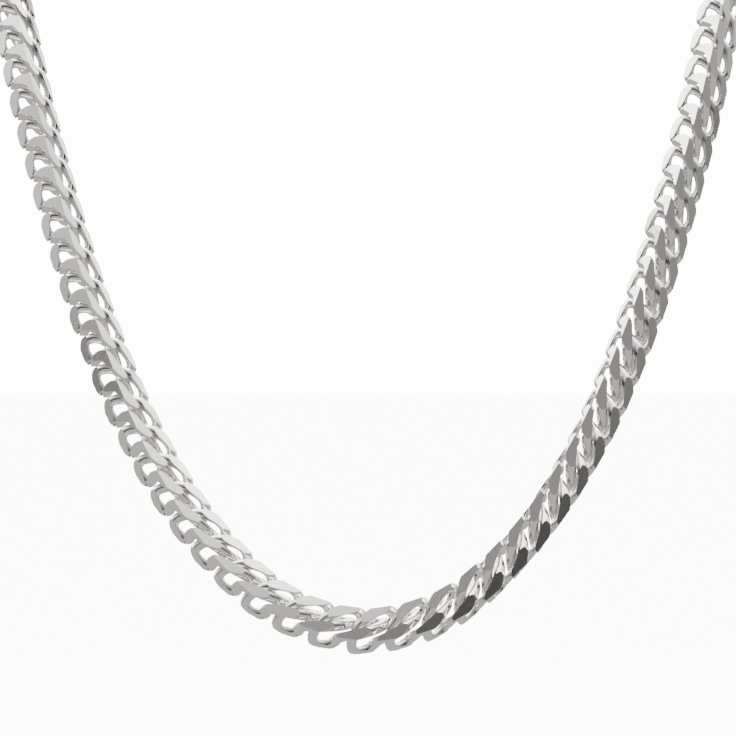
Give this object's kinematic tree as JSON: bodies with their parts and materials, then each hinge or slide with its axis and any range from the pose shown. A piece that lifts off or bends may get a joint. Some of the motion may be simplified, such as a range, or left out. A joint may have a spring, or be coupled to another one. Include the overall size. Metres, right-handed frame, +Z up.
{
  "type": "flat-cut square link neck chain",
  "caption": "Neck chain of interlocked flat-cut square silver links, in a worn loop with a plain clasp at the nape.",
  "frame": {"origin": "middle of the clasp's inner face, where it rests on the nape", "axes": "+X to the right of a viewer who faces the wearer, -Y towards the front, +Z up"},
  "size_m": [0.1239, 0.1394, 0.125],
  "materials": {
    "silver": "polished, diamond-cut sterling silver"
  },
  "bodies": {
    "root": {"chain_left": "silver", "chain_right": "silver", "clasp": "silver"}
  },
  "joints": []
}
